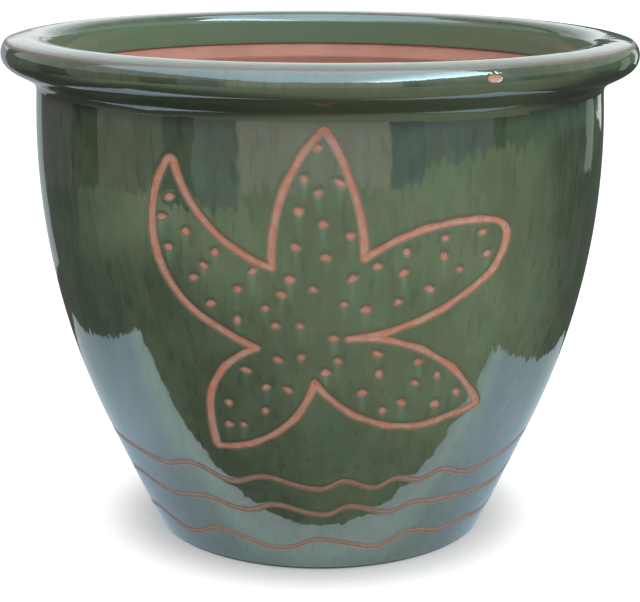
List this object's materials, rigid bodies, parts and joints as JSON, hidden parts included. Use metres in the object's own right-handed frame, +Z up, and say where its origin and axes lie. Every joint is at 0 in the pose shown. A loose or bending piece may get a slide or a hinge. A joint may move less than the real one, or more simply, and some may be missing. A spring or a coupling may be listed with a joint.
{
  "type": "garden pot",
  "caption": "Round glazed terracotta garden pot with a heavy rolled rim, tapering to a small foot ring with a drain hole, and a starfish and wavy lines cut through the glaze.",
  "frame": {"origin": "on the pot's axis, in the plane of its standing ring", "axes": "+Z up along the axis the pot was turned on, -Y out through the middle of the starfish, +X to the right as the starfish is looked at"},
  "size_m": [0.4, 0.4, 0.32],
  "materials": {
    "terracotta": "bare fired earthenware, matt",
    "green_glaze": "glossy green glaze, running thin at edges"
  },
  "bodies": {
    "root": {"base_slab": "terracotta", "pot_wall": "terracotta", "rim_roll": "terracotta", "rim_glaze": "green_glaze", "field_glaze": "green_glaze", "starfish_glaze": "green_glaze", "upper_wave_glaze": "green_glaze", "lower_wave_glaze": "green_glaze", "foot_glaze": "green_glaze"}
  },
  "joints": []
}
